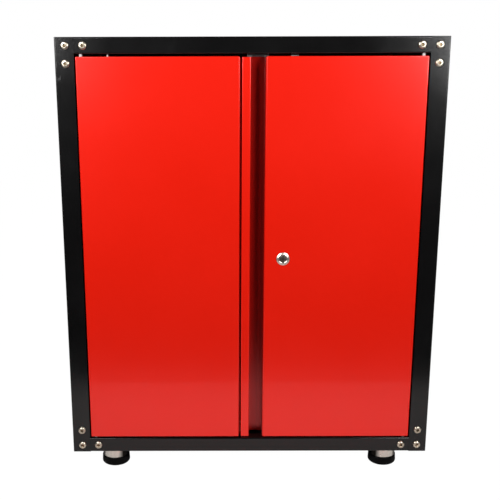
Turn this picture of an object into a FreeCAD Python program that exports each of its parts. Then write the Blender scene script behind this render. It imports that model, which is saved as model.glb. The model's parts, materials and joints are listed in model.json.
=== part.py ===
import FreeCAD, Part
import math
import os
import re

import Sketcher

# A free-standing steel tool cabinet: a bolted black frame, two hinged doors set into it,
# a finger pull and a cam lock on the right door, one shelf, and four adjustable feet.
# Millimetres, +Z up, doors towards -Y. The origin is on the floor under the cabinet's middle.

V = FreeCAD.Vector
LEFT, RIGHT = -1, 1
FRONT, REAR = -1, 1
LOWER, UPPER = -1, 1
SIDE_WORD = {LEFT: "left", RIGHT: "right"}
END_WORD = {FRONT: "front", REAR: "rear"}

# Driving dimensions, each a plain number of millimetres unless its name says otherwise.
SIZES = {
    "body_width": 711,
    "body_depth": 460,
    "body_height": 813,
    "foot_height": 36,
    "frame_sheet": 1.5,
    "panel_sheet": 0.9,
    "door_sheet": 1.0,
    "bend_radius": 0.8,
    "fit_gap": 0.3,
    "running_fit": 0.05,
    "hole_play": 0.5,
    "drill_reach": 5,
    # frame
    "post_leg": 34.5,
    "rail_face": 29.7,
    "sill_face": 29,
    "seam_gap": 0.2,
    "top_flange": 30,
    "door_flange": 55,
    "foot_flange": 62,
    "gusset_sheet": 2,
    "gusset_arm": 20,
    "bolt_side_inset": 19,
    "bolt_end_inset": 15,
    "bolt_pitch": 32,
    "bolt_dia": 8,
    "bolt_head_dia": 15,
    "bolt_head_height": 4.4,
    "bolt_dome": 3.4,
    "bolt_socket": 5,
    "bolt_socket_depth": 2.6,
    "bolt_tail": 2,
    "nut_flats": 13,
    "nut_height": 6.5,
    "wall_hole_dia": 8.5,
    "wall_hole_spacing": 400,
    # panels
    "panel_flange": 24,
    "floor_setback": 20,
    "notch_gap": 3,
    "screw_dia": 4.8,
    "screw_head_dia": 9,
    "screw_head_height": 2.6,
    "screw_tail": 8,
    "screw_slot": 1.2,
    "screw_margin": 130,
    # shelf and its standards
    "standard_width": 16,
    "standard_depth": 6,
    "standard_sheet": 1.2,
    "standard_inset": 75,
    "standard_floor_gap": 15,
    "standard_top_gap": 45,
    "slot_width": 8,
    "slot_height": 3,
    "slot_pitch": 25,
    "slot_margin": 20,
    "clip_width": 14,
    "clip_reach": 14,
    "clip_leg": 13,
    "clip_sheet": 2,
    "clip_hook": 3.6,
    "shelf_sheet": 1,
    "shelf_flange": 25,
    "shelf_side_gap": 1.5,
    "shelf_setback": 62,
    "shelf_rear_gap": 4,
    # doors
    "door_inset": 1.5,
    "door_depth": 20,
    "door_top_gap": 5,
    "door_bottom_gap": 2.5,
    "door_side_gap": 2,
    "door_rounding": 2,
    "door_lip": 12,
    "parting_offset": 20,
    "parting_gap": 4,
    "channel_depth": 28,
    "free_lip": 20,
    "pull_strip": 16,
    "pull_mouth": 28,
    "pull_hem": 6,
    "pull_setback": 2.2,
    "pull_end_gap": 1.5,
    "stiffener_width": 50,
    "stiffener_depth": 17,
    "stiffener_sheet": 0.8,
    "stiffener_end_gap": 4,
    # hinges
    "hinge_inset": 9.5,
    "hinge_setback": 5.5,
    "pin_dia": 4,
    "pin_head_dia": 8,
    "pin_head_height": 2,
    "pin_reach": 10,
    "bush_wall": 0.75,
    "bush_flange_dia": 6,
    "bush_length": 6,
    "button_line": 261,
    "button_dia": 3.2,
    "button_height": 3.4,
    "button_rounding": 0.8,
    # lock
    "lock_centre": 61.3,
    "lock_level": 401.5,
    "bezel_dia": 25.5,
    "bezel_proud": 3,
    "bezel_rounding": 1.6,
    "barrel_dia": 19,
    "plug_dia": 13,
    "plug_recess": 0.6,
    "plug_tail_dia": 8,
    "keyhole_width": 1.8,
    "keyhole_length": 8,
    "keyhole_depth": 4,
    "lock_nut_flats": 24,
    "lock_nut_height": 4,
    "cam_gap": 1,
    "cam_sheet": 2,
    "cam_width": 16,
    "cam_length": 98,
    "cam_screw_dia": 5,
    "cam_screw_depth": 8,
    "cam_screw_head_dia": 10,
    "cam_screw_head_height": 3,
    # catches and stops
    "catch_centre": 12.1,
    "catch_width": 39.5,
    "catch_height": 14,
    "catch_depth": 20,
    "catch_gap": 0.3,
    "catch_rounding": 1.5,
    "magnet_width": 22,
    "magnet_height": 8,
    "magnet_depth": 6,
    "catch_screw_spread": 29,
    "catch_screw_setback": 13,
    "catch_screw_dia": 4,
    "catch_screw_head_dia": 7,
    "catch_screw_head_height": 2.2,
    "catch_screw_tail": 3,
    "striker_sheet": 1.2,
    "striker_width": 18,
    "striker_margin": 2,
    "stop_centre": 78.7,
    "stop_width": 13.5,
    "stop_height": 10,
    "stop_depth": 9,
    "stop_rounding": 1,
    # feet
    "foot_side_inset": 81.5,
    "foot_end_inset": 34,
    "boot_dia": 56,
    "boot_height": 17,
    "boot_rounding": 4,
    "boot_lip_rounding": 1.6,
    "boot_socket_floor": 5,
    "sleeve_dia": 52,
    "sleeve_wall": 1.2,
    "sleeve_gap": 0.4,
    "stud_dia": 10,
    "stud_length": 53,
    "stud_collar_flats": 17,
    "stud_collar_height": 5,
    "foot_nut_height": 8,
}

# Counts, which no change of size touches.
COUNTS = {
    "shelf_slot": 14,
}

# Places worked out from the driving dimensions.
PLACES = {
    "side_face": "body_width / 2",
    "rear_face": "body_depth / 2",
    "body_top": "foot_height + body_height",
    "rail_end": "side_face - post_leg",
    "panel_outside": "side_face - frame_sheet",
    "panel_inside": "panel_outside - panel_sheet",
    "sill_top": "foot_height + sill_face",
    "floor_top": "sill_top - frame_sheet",
    "lintel": "body_top - rail_face",
    "bolt_line": "side_face - bolt_side_inset",
    "arm_half": "gusset_arm / 2",
    "door_face": "door_inset - body_depth / 2",
    "door_back": "door_face + door_depth",
    "door_bottom": "sill_top + door_bottom_gap",
    "door_top": "lintel - door_top_gap",
    "door_edge": "rail_end - door_side_gap",
    "left_free_edge": "-parting_offset - parting_gap / 2",
    "pull_edge": "parting_gap / 2 - parting_offset",
    "mouth_left": "pull_edge + pull_strip",
    "mouth_right": "mouth_left + pull_mouth",
    "channel_back": "door_face + channel_depth",
    "hinge_line": "door_edge - hinge_inset",
    "hinge_depth": "door_face + hinge_setback",
    "bush_dia": "pin_dia + 2 * (running_fit + bush_wall)",
    "lock_height": "foot_height + lock_level",
    "cam_front": "channel_back + cam_gap",
    "cam_back": "cam_front + cam_sheet",
    "barrel_back": "cam_front - fit_gap",
    "catch_front": "channel_back + striker_sheet + catch_gap",
    "lower_catch_centre": "left_free_edge - free_lip / 2",
    "standard_bottom": "floor_top + standard_floor_gap",
    "standard_top": "body_top - standard_top_gap",
    "web_inside": "panel_inside - standard_depth",
    "first_slot": "standard_bottom + slot_margin",
    "shelf_seat": "first_slot + shelf_slot * slot_pitch + clip_sheet / 2",
    "foot_line": "side_face - foot_side_inset",
    "foot_row": "rear_face - foot_end_inset",
    "stud_bottom": "boot_socket_floor",
    "nut_seat": "frame_sheet + gusset_sheet",
}

doc = FreeCAD.newDocument("Tool_cabinet")


def words_of(names):
    return re.compile(r"\b(" + "|".join(sorted(names, key=len, reverse=True)) + r")\b")


size_words = words_of({**SIZES, **COUNTS})
place_words = words_of(PLACES)


def formula(text):
    """An expression in which each size and place is led by its sheet's name."""
    return place_words.sub(r"Places.\1", size_words.sub(r"Sizes.\1", str(text)))


def fill_sheets():
    sizes = doc.addObject("Spreadsheet::Sheet", "Sizes")
    for row, (name, value) in enumerate({**SIZES, **COUNTS}.items(), start=1):
        sizes.set(f"A{row}", name)
        sizes.set(f"B{row}", str(value))
        sizes.setAlias(f"B{row}", name)
    doc.recompute()
    places = doc.addObject("Spreadsheet::Sheet", "Places")
    for row, (name, text) in enumerate(PLACES.items(), start=1):
        places.set(f"A{row}", name)
        places.set(f"B{row}", "=" + size_words.sub(r"Sizes.\1", text))
        places.setAlias(f"B{row}", name)
    doc.recompute()
    return sizes


sheet = fill_sheets()


def number(text):
    return float(sheet.evalExpression(formula(text)))


def bind(obj, prop, text):
    obj.setExpression(prop, formula(text))


def new_body(label):
    return doc.addObject("PartDesign::Body", label)


def origin_feature(body, role):
    return next(item for item in body.Origin.OriginFeatures if item.Role == role)


def mirrored(side, low, high):
    """The span from low to high, or its mirror image on the negative side."""
    if side > 0:
        return low, high
    return f"-({high})", f"-({low})"


def centred(centre, width):
    return f"{centre} - {width} / 2", f"{centre} + {width} / 2"


def box(body, x, y, z, cut=False):
    """Adds or cuts a box between the two formulas given for each axis."""
    kind = "PartDesign::SubtractiveBox" if cut else "PartDesign::AdditiveBox"
    feature = body.newObject(kind, "Box")
    for prop, axis, (low, high) in zip(("Length", "Width", "Height"), "xyz", (x, y, z)):
        bind(feature, prop, f"({high}) - ({low})")
        bind(feature, f"Placement.Base.{axis}", low)
    doc.recompute()
    return feature


TURNED_TO = {
    "x": FreeCAD.Rotation(V(0, 1, 0), 90),
    "y": FreeCAD.Rotation(V(1, 0, 0), -90),
    "z": FreeCAD.Rotation(),
}


def cylinder(body, axis, start, length, diameter, cut=False):
    """Adds or cuts a cylinder that runs from start towards +axis."""
    kind = "PartDesign::SubtractiveCylinder" if cut else "PartDesign::AdditiveCylinder"
    feature = body.newObject(kind, "Cylinder")
    bind(feature, "Radius", f"({diameter}) / 2")
    bind(feature, "Height", length)
    feature.Placement = FreeCAD.Placement(V(), TURNED_TO[axis])
    for letter, text in zip("xyz", start):
        bind(feature, f"Placement.Base.{letter}", text)
    doc.recompute()
    return feature


def outline(body, plane, points, level):
    """A closed sketch through the points, parallel to one of the body's origin planes."""
    sketch = body.newObject("Sketcher::SketchObject", "Outline")
    sketch.AttachmentSupport = [(origin_feature(body, plane), "")]
    sketch.MapMode = "FlatFace"
    bind(sketch, "AttachmentOffset.Base.z", level)
    corners = [V(number(across), number(along), 0) for across, along in points]
    count = len(corners)
    for index in range(count):
        sketch.addGeometry(Part.LineSegment(corners[index], corners[(index + 1) % count]))
    for index in range(count):
        sketch.addConstraint(Sketcher.Constraint("Coincident", index, 2, (index + 1) % count, 1))
    for index, point in enumerate(points):
        for kind, text in zip(("DistanceX", "DistanceY"), point):
            rule = Sketcher.Constraint(kind, -1, 1, index, 1, number(text))
            place = sketch.addConstraint(rule)
            sketch.setExpression(f"Constraints[{place}]", formula(text))
    return sketch


def pad(body, plane, points, low, high):
    """A section in the plane, carried from low to high along the third axis."""
    # the XZ plane's normal points to -Y, so its levels count backwards
    level = f"-({high})" if plane == "XZ_Plane" else low
    feature = body.newObject("PartDesign::Pad", "Pad")
    feature.Profile = outline(body, plane, points, level)
    bind(feature, "Length", f"({high}) - ({low})")
    doc.recompute()
    return feature


def pocket(body, points, low, high):
    """Cuts an outline in the XY plane from high down to low."""
    feature = body.newObject("PartDesign::Pocket", "Pocket")
    feature.Profile = outline(body, "XY_Plane", points, high)
    bind(feature, "Length", f"({high}) - ({low})")
    doc.recompute()
    return feature


def round_edges(body, radius, chosen):
    """Rounds the edges of the body's last feature that the chosen test picks."""
    base = body.Tip
    names = [f"Edge{index}" for index, edge in enumerate(base.Shape.Edges, start=1) if chosen(edge)]
    feature = body.newObject("PartDesign::Fillet", "Rounding")
    feature.Base = (base, names)
    bind(feature, "Radius", radius)
    doc.recompute()
    return feature


def close(one, other):
    return abs(one - other) < 1e-4


def runs_along(axis, **at):
    """A test for straight edges parallel to an axis, through the given coordinates."""
    def chosen(edge):
        ends = [vertex.Point for vertex in edge.Vertexes]
        if len(ends) != 2 or not isinstance(edge.Curve, Part.Line):
            return False
        run = ends[1] - ends[0]
        straight = close(abs(getattr(run, axis)), run.Length)
        middle = edge.CenterOfMass
        return straight and all(close(getattr(middle, key), value) for key, value in at.items())
    return chosen


def rim_at(axis, value, diameter):
    """A test for the round edge of a given diameter at one level."""
    def chosen(edge):
        return (isinstance(edge.Curve, Part.Circle) and close(2 * edge.Curve.Radius, diameter)
                and close(getattr(edge.CenterOfMass, axis), value))
    return chosen


def any_of(*tests):
    return lambda edge: any(test(edge) for test in tests)


def hexagon(flats, sides=6):
    """The corners of a hexagon about the origin, from its size across flats."""
    corners = []
    for index in range(sides):
        angle = 2 * math.pi * index / sides
        reach = 0.5 / math.cos(math.pi / sides)
        corners.append((f"{flats} * {reach * math.cos(angle):.9f}",
                        f"{flats} * {reach * math.sin(angle):.9f}"))
    return corners


def group(label, copies):
    """Copies of finished bodies, kept together as separate solids of one piece."""
    links = []
    for index, (master, turn, place) in enumerate(copies, start=1):
        link = doc.addObject("App::Link", f"{label}_{index}")
        link.LinkedObject = master
        link.Placement = FreeCAD.Placement(V(), turn)
        for axis, text in zip("xyz", place):
            bind(link, f"Placement.Base.{axis}", text)
        links.append(link)
    bundle = doc.addObject("Part::Compound", label)
    bundle.Links = links
    doc.recompute()
    return bundle


def single(master, label, turn, place):
    """One finished copy of a master body, placed by formulas."""
    return group(label, [(master, turn, place)])


# ---- frame ----

def corner_level(level):
    """The height of the corner bolt and the direction of the next one."""
    if level == UPPER:
        return "body_top - bolt_end_inset", -1
    return "foot_height + bolt_end_inset", 1


def post(side, end):
    """An upright angle at one corner, bent from one sheet."""
    body = new_body(f"{END_WORD[end]}_{SIDE_WORD[side]}_post")
    section = [
        ("side_face", "rear_face"),
        ("side_face - post_leg", "rear_face"),
        ("side_face - post_leg", "rear_face - frame_sheet"),
        ("side_face - frame_sheet", "rear_face - frame_sheet"),
        ("side_face - frame_sheet", "rear_face - post_leg"),
        ("side_face", "rear_face - post_leg"),
    ]
    pad(body, "XY_Plane", [(f"{side} * ({x})", f"{end} * ({y})") for x, y in section],
        "foot_height", "body_top")
    round_edges(body, "frame_sheet + bend_radius",
                runs_along("z", x=side * number("side_face"), y=end * number("rear_face")))
    round_edges(body, "bend_radius",
                runs_along("z", x=side * number("panel_outside"),
                           y=end * number("rear_face - frame_sheet")))
    for level in (LOWER, UPPER):
        height, step = corner_level(level)
        for count in range(2):
            drill_face(body, end, f"{side} * bolt_line", f"{height} + {step * count} * bolt_pitch",
                       "bolt_dia + hole_play")
    if end == REAR:
        for height in panel_screw_heights():
            drill_face(body, end, f"{side} * bolt_line", height, "screw_dia + hole_play")
    return body


def drill_face(body, end, x, z, diameter):
    """A hole along Y through the sheet that lies at the front or rear face."""
    start = (x, f"{end} * rear_face - drill_reach", z)
    cylinder(body, "y", start, "2 * drill_reach", diameter, cut=True)


def drill_down(body, x, y, z, diameter):
    """A hole along Z through the sheet that lies at one height."""
    cylinder(body, "z", (x, y, f"{z} - drill_reach"), "2 * drill_reach", diameter, cut=True)


def rail(label, end, low, high, low_flange, high_flange):
    """A folded channel across the cabinet: a face with a flange at each long edge."""
    body = new_body(label)
    section = [
        ("rear_face", low),
        (f"rear_face - {low_flange}", low),
        (f"rear_face - {low_flange}", f"{low} + frame_sheet"),
        ("rear_face - frame_sheet", f"{low} + frame_sheet"),
        ("rear_face - frame_sheet", f"{high} - frame_sheet"),
        (f"rear_face - {high_flange}", f"{high} - frame_sheet"),
        (f"rear_face - {high_flange}", high),
        ("rear_face", high),
    ]
    pad(body, "YZ_Plane", [(f"{end} * ({y})", z) for y, z in section],
        "seam_gap - rail_end", "rail_end - seam_gap")
    face = end * number("rear_face")
    inner = end * number("rear_face - frame_sheet")
    round_edges(body, "frame_sheet + bend_radius",
                any_of(runs_along("x", y=face, z=number(low)),
                       runs_along("x", y=face, z=number(high))))
    round_edges(body, "bend_radius",
                any_of(runs_along("x", y=inner, z=number(f"{low} + frame_sheet")),
                       runs_along("x", y=inner, z=number(f"{high} - frame_sheet"))))
    return body


def top_rail(end):
    body = rail(f"{END_WORD[end]}_top_rail", end, "lintel", "body_top - panel_sheet",
                "door_flange", "top_flange")
    height, _ = corner_level(UPPER)
    for side in (LEFT, RIGHT):
        drill_face(body, end, f"{side} * (bolt_line - bolt_pitch)", height, "bolt_dia + hole_play")
        if end == FRONT:
            drill_down(body, f"{side} * hinge_line", "hinge_depth", "lintel",
                       "pin_dia + 2 * running_fit")
            drill_down(body, f"catch_centre + {side} * catch_screw_spread / 2",
                       "catch_front + catch_screw_setback", "lintel",
                       "catch_screw_dia + 2 * running_fit")
        else:
            drill_face(body, end, f"{side} * wall_hole_spacing / 2", height, "wall_hole_dia")
    return body


def bottom_rail(end):
    body = rail(f"{END_WORD[end]}_bottom_rail", end, "foot_height", "sill_top",
                "foot_flange", "door_flange")
    height, _ = corner_level(LOWER)
    for side in (LEFT, RIGHT):
        drill_face(body, end, f"{side} * (bolt_line - bolt_pitch)", height, "bolt_dia + hole_play")
        drill_down(body, f"{side} * foot_line", f"{end} * foot_row", "foot_height",
                   "stud_dia + hole_play")
        if end == FRONT:
            drill_down(body, f"{side} * hinge_line", "hinge_depth", "sill_top",
                       "pin_dia + 2 * running_fit")
            drill_down(body, f"lower_catch_centre + {side} * catch_screw_spread / 2",
                       "catch_front + catch_screw_setback", "sill_top",
                       "catch_screw_dia + 2 * running_fit")
    return body


# Turns about Y that lay the corner plate's arms into each corner of the front or rear.
CORNER_TURN = {
    (RIGHT, UPPER): 0,
    (LEFT, UPPER): -90,
    (LEFT, LOWER): 180,
    (RIGHT, LOWER): 90,
}


def gusset_master():
    """A flat corner plate: its corner hole at the origin, its arms to -X and -Z."""
    body = new_body("Corner_plate")
    section = [
        ("arm_half", "arm_half"),
        ("-bolt_pitch - arm_half", "arm_half"),
        ("-bolt_pitch - arm_half", "-arm_half"),
        ("-arm_half", "-arm_half"),
        ("-arm_half", "-bolt_pitch - arm_half"),
        ("arm_half", "-bolt_pitch - arm_half"),
    ]
    pad(body, "XZ_Plane", section, "0", "gusset_sheet")
    for x, z in (("0", "0"), ("-bolt_pitch", "0"), ("0", "-bolt_pitch")):
        cylinder(body, "y", (x, "-drill_reach", z), "2 * drill_reach", "bolt_dia + hole_play", cut=True)
    return body


def gussets(end, master):
    y = "frame_sheet - rear_face" if end == FRONT else "rear_face - nut_seat"
    copies = []
    for (side, level), angle in CORNER_TURN.items():
        height, _ = corner_level(level)
        copies.append((master, FreeCAD.Rotation(V(0, 1, 0), angle), (f"{side} * bolt_line", y, height)))
    return group(f"{END_WORD[end]}_gussets", copies)


def bolt_master():
    """A button-head screw along Z: its head's seat at the origin, its head upwards."""
    body = new_body("Button_screw")
    cylinder(body, "z", ("0", "0", "0"), "bolt_head_height", "bolt_head_dia")
    round_edges(body, "bolt_dome", rim_at("z", number("bolt_head_height"), number("bolt_head_dia")))
    length = "nut_seat + nut_height + bolt_tail"
    cylinder(body, "z", ("0", "0", f"-({length})"), length, "bolt_dia")
    pocket(body, hexagon("bolt_socket"), "bolt_head_height - bolt_socket_depth", "bolt_head_height")
    return body


def nut_master(label, flats, height, thread):
    """A hexagon nut along Z with its seat at the origin."""
    body = new_body(label)
    pad(body, "XY_Plane", hexagon(flats), "0", height)
    cylinder(body, "z", ("0", "0", "-drill_reach"), f"{height} + 2 * drill_reach",
             f"{thread} + 2 * running_fit", cut=True)
    return body


def bolt_places():
    """The x, z and end of every frame bolt."""
    places = []
    for end in (FRONT, REAR):
        for side in (LEFT, RIGHT):
            for level in (LOWER, UPPER):
                height, step = corner_level(level)
                places.append((f"{side} * bolt_line", height, end))
                places.append((f"{side} * (bolt_line - bolt_pitch)", height, end))
                places.append((f"{side} * bolt_line", f"{height} + {step} * bolt_pitch", end))
    return places


def facing(end):
    """The turn that points a piece's own +Z to the front or the rear."""
    return FreeCAD.Rotation(V(1, 0, 0), -90 * end)


def frame_fasteners():
    bolt = bolt_master()
    nut = nut_master("Frame_nut", "nut_flats", "nut_height", "bolt_dia")
    bolts = []
    nuts = []
    for x, z, end in bolt_places():
        bolts.append((bolt, facing(end), (x, f"{end} * rear_face", z)))
        nuts.append((nut, facing(-end), (x, f"{end} * (rear_face - nut_seat)", z)))
    return [group("frame_bolts", bolts), group("frame_nuts", nuts)]


# ---- panels ----

def side_panel(side):
    body = new_body(f"{SIDE_WORD[side]}_side_panel")
    reach = "rear_face - frame_sheet - bend_radius - fit_gap"
    box(body, mirrored(side, "panel_inside", "panel_outside"), (f"-({reach})", reach),
        ("foot_height", "body_top"))
    return body


def folded_panel(label, high, reach):
    """A flat sheet between the side panels, its two side edges folded down."""
    body = new_body(label)
    section = [
        ("-panel_inside", high),
        ("-panel_inside", f"{high} - panel_flange"),
        ("panel_sheet - panel_inside", f"{high} - panel_flange"),
        ("panel_sheet - panel_inside", f"{high} - panel_sheet"),
        ("panel_inside - panel_sheet", f"{high} - panel_sheet"),
        ("panel_inside - panel_sheet", f"{high} - panel_flange"),
        ("panel_inside", f"{high} - panel_flange"),
        ("panel_inside", high),
    ]
    pad(body, "XZ_Plane", section, f"-({reach})", reach)
    return body


def top_panel():
    """The top sheet, with a tongue over each rail between the posts."""
    body = folded_panel("top_panel", "body_top", "rear_face - post_leg")
    sheet_span = ("body_top - panel_sheet", "body_top")
    inner = "rear_face - frame_sheet - fit_gap"
    box(body, ("-panel_inside", "panel_inside"), (f"-({inner})", inner), sheet_span)
    tongue = "rail_end - seam_gap"
    box(body, (f"-({tongue})", tongue), ("-rear_face", "rear_face"), sheet_span)
    return body


def floor_panel():
    """The bottom sheet under the flanges of the bottom rails, with a tongue into each corner."""
    body = folded_panel("floor_panel", "floor_top", "rear_face - nut_seat - 2 * fit_gap")
    half = "hinge_line + pin_head_dia / 2 + notch_gap"
    for end in (FRONT, REAR):
        box(body, (f"-({half})", half), mirrored(end, "rear_face - floor_setback", "rear_face"),
            ("floor_top - drill_reach", "floor_top + drill_reach"), cut=True)
    for side in (LEFT, RIGHT):
        drill_down(body, f"lower_catch_centre + {side} * catch_screw_spread / 2",
                   "catch_front + catch_screw_setback", "floor_top", "catch_screw_dia + 2 * running_fit")
    return body


def back_panel():
    """The back sheet between the rear rails, notched round the corner plates."""
    body = new_body("back_panel")
    half = "panel_inside - fit_gap"
    low = "sill_top + fit_gap"
    high = "lintel - fit_gap"
    y = ("rear_face - frame_sheet - panel_sheet", "rear_face - frame_sheet")
    box(body, (f"-({half})", half), y, (low, high))
    through = ("rear_face - drill_reach", "rear_face + drill_reach")
    arm_end = "bolt_end_inset + bolt_pitch + arm_half + notch_gap"
    for side in (LEFT, RIGHT):
        x = mirrored(side, "bolt_line - arm_half - notch_gap", "side_face")
        box(body, x, through, ("foot_height", f"foot_height + {arm_end}"), cut=True)
        box(body, x, through, (f"body_top - ({arm_end})", "body_top"), cut=True)
        for height in panel_screw_heights():
            drill_face(body, REAR, f"{side} * bolt_line", height, "screw_dia + hole_play")
    return body


def panel_screw_heights(count=4):
    span = "(body_height - 2 * screw_margin)"
    return [f"foot_height + screw_margin + {span} * {index} / {count - 1}" for index in range(count)]


def panel_screws():
    """Pan-head screws that hold the back panel to the rear posts."""
    master = new_body("Panel_screw")
    cylinder(master, "z", ("0", "0", "0"), "screw_head_height", "screw_head_dia")
    round_edges(master, "screw_head_height * 0.6",
                rim_at("z", number("screw_head_height"), number("screw_head_dia")))
    length = "frame_sheet + panel_sheet + screw_tail"
    cylinder(master, "z", ("0", "0", f"-({length})"), length, "screw_dia")
    slot = "screw_head_dia * 0.3"
    for x, y in ((slot, "screw_slot / 2"), ("screw_slot / 2", slot)):
        box(master, (f"-({x})", x), (f"-({y})", y),
            ("screw_head_height / 2", "screw_head_height + drill_reach"), cut=True)
    copies = []
    for side in (LEFT, RIGHT):
        for height in panel_screw_heights():
            copies.append((master, facing(REAR), (f"{side} * bolt_line", "rear_face", height)))
    return group("panel_screws", copies)


# ---- shelf ----

def standard(side, end):
    """A slotted upright on a side panel, with its open side against the panel."""
    body = new_body(f"{END_WORD[end]}_{SIDE_WORD[side]}_shelf_standard")
    centre = f"{end} * (rear_face - standard_inset)"
    low, high = centred(centre, "standard_width")
    section = [
        ("panel_inside", low),
        ("web_inside", low),
        ("web_inside", high),
        ("panel_inside", high),
        ("panel_inside", f"{high} - standard_sheet"),
        ("web_inside + standard_sheet", f"{high} - standard_sheet"),
        ("web_inside + standard_sheet", f"{low} + standard_sheet"),
        ("panel_inside", f"{low} + standard_sheet"),
    ]
    pad(body, "XY_Plane", [(f"{side} * ({x})", y) for x, y in section],
        "standard_bottom", "standard_top")
    slot = box(body, mirrored(side, "web_inside - standard_sheet", "web_inside + 2 * standard_sheet"),
               centred(centre, "slot_width"), centred("first_slot", "slot_height"), cut=True)
    row = body.newObject("PartDesign::LinearPattern", "Slots")
    row.Originals = [slot]
    row.Direction = (origin_feature(body, "Z_Axis"), [""])
    span = "(standard_top - standard_bottom - 2 * slot_margin)"
    bind(row, "Occurrences", f"floor({span} / slot_pitch) + 1")
    bind(row, "Length", f"floor({span} / slot_pitch) * slot_pitch")
    body.Tip = row
    doc.recompute()
    return body


def shelf_clips():
    """Four bent clips that hook into the standards and carry the shelf's side flanges."""
    master = new_body("Shelf_clip")
    across = centred("0", "clip_width")
    box(master, ("-clip_reach", "0"), across, ("-clip_sheet", "0"))
    box(master, ("-clip_sheet", "0"), across, ("-clip_leg", "0"))
    box(master, ("0", "clip_hook"), centred("0", "(slot_width - 2 * fit_gap)"), ("-clip_sheet", "0"))
    copies = []
    for side in (LEFT, RIGHT):
        turn = FreeCAD.Rotation(V(0, 0, 1), 0 if side == RIGHT else 180)
        for end in (FRONT, REAR):
            place = (f"{side} * web_inside", f"{end} * (rear_face - standard_inset)", "shelf_seat")
            copies.append((master, turn, place))
    return group("shelf_clips", copies)


def shelf():
    """A shelf with all four edges folded down."""
    body = new_body("shelf")
    half = "web_inside - shelf_side_gap"
    near = "shelf_setback - rear_face"
    far = "rear_face - frame_sheet - panel_sheet - shelf_rear_gap"
    low = "shelf_seat"
    high = "shelf_seat + shelf_flange"
    box(body, (f"-({half})", half), (near, far), (low, high))
    top = number(high)
    round_edges(body, "shelf_sheet + bend_radius",
                lambda edge: close(edge.CenterOfMass.z, top) and len(edge.Vertexes) == 2)
    inner = f"{half} - shelf_sheet"
    box(body, (f"-({inner})", inner), (f"{near} + shelf_sheet", f"{far} - shelf_sheet"),
        (f"{low} - drill_reach", f"{high} - shelf_sheet"), cut=True)
    return body


# ---- doors ----

def door_pan(label, low_x, high_x):
    """A door's outer skin: a face with rounded edges and four edges folded back."""
    body = new_body(label)
    box(body, (low_x, high_x), ("door_face", "door_back"), ("door_bottom", "door_top"))
    face = number("door_face")
    round_edges(body, "door_rounding",
                lambda edge: close(edge.CenterOfMass.y, face) or runs_along("y")(edge))
    box(body, (f"{low_x} + door_sheet", f"{high_x} - door_sheet"),
        ("door_face + door_sheet", "door_back + drill_reach"),
        ("door_bottom + door_sheet", "door_top - door_sheet"), cut=True)
    return body


def hinge_edge(body, side):
    """The folded lip along the hinge edge, and the holes for the two hinge bushes."""
    box(body, mirrored(side, "door_edge - door_lip", "door_edge"), ("door_back - door_sheet", "door_back"),
        ("door_bottom + door_rounding", "door_top - door_rounding"))
    for level in ("door_bottom", "door_top"):
        start = (f"{side} * hinge_line", "hinge_depth", f"{level} - bush_wall * 2")
        cylinder(body, "z", start, "bush_wall * 4", "bush_dia + 2 * running_fit", cut=True)


def left_door_skin():
    body = door_pan("left_door_skin", "-door_edge", "left_free_edge")
    hinge_edge(body, LEFT)
    ends = ("door_bottom + door_rounding", "door_top - door_rounding")
    box(body, ("left_free_edge - door_sheet", "left_free_edge"), ("door_back - door_sheet", "channel_back"),
        ends)
    box(body, ("left_free_edge - free_lip", "left_free_edge"), ("channel_back - door_sheet", "channel_back"),
        ends)
    return body


def right_door_skin():
    body = door_pan("right_door_skin", "mouth_right", "door_edge")
    hinge_edge(body, RIGHT)
    cylinder(body, "y", ("lock_centre", "door_face - drill_reach", "lock_height"), "3 * drill_reach",
             "barrel_dia + hole_play", cut=True)
    return body


def right_door_pull():
    """The finger channel and the upright strip that overhangs it, bent from one sheet."""
    body = new_body("right_door_pull")
    section = [
        ("mouth_left", "door_face"),
        ("pull_edge", "door_face"),
        ("pull_edge", "channel_back"),
        ("mouth_right", "channel_back"),
        ("mouth_right", "door_face + pull_setback"),
        ("mouth_right - door_sheet", "door_face + pull_setback"),
        ("mouth_right - door_sheet", "channel_back - door_sheet"),
        ("pull_edge + door_sheet", "channel_back - door_sheet"),
        ("pull_edge + door_sheet", "door_face + door_sheet"),
        ("mouth_left - door_sheet", "door_face + door_sheet"),
        ("mouth_left - door_sheet", "door_face + pull_hem"),
        ("mouth_left", "door_face + pull_hem"),
    ]
    pad(body, "XY_Plane", section, "door_bottom + pull_end_gap", "door_top - pull_end_gap")
    face = number("door_face")
    back = number("channel_back")
    round_edges(body, "door_sheet + bend_radius",
                any_of(runs_along("z", x=number("mouth_left"), y=face),
                       runs_along("z", x=number("pull_edge"), y=face),
                       runs_along("z", x=number("pull_edge"), y=back),
                       runs_along("z", x=number("mouth_right"), y=back)))
    round_edges(body, "bend_radius",
                any_of(runs_along("z", x=number("mouth_left - door_sheet"), y=face + number("door_sheet")),
                       runs_along("z", x=number("pull_edge + door_sheet"), y=face + number("door_sheet")),
                       runs_along("z", x=number("pull_edge + door_sheet"), y=back - number("door_sheet")),
                       runs_along("z", x=number("mouth_right - door_sheet"), y=back - number("door_sheet"))))
    return body


def stiffener(side, low_x, high_x):
    """A channel down the middle of a door, its web welded behind the face."""
    body = new_body(f"{SIDE_WORD[side]}_door_stiffener")
    centre = f"({low_x} + {high_x}) / 2"
    near = f"{centre} - stiffener_width / 2"
    far = f"{centre} + stiffener_width / 2"
    seat = "door_face + door_sheet"
    web_back = f"{seat} + stiffener_sheet"
    leg_end = f"{seat} + stiffener_depth"
    section = [
        (near, seat),
        (near, leg_end),
        (f"{near} + stiffener_sheet", leg_end),
        (f"{near} + stiffener_sheet", web_back),
        (f"{far} - stiffener_sheet", web_back),
        (f"{far} - stiffener_sheet", leg_end),
        (far, leg_end),
        (far, seat),
    ]
    pad(body, "XY_Plane", section, "door_bottom + stiffener_end_gap", "door_top - stiffener_end_gap")
    return body


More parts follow.
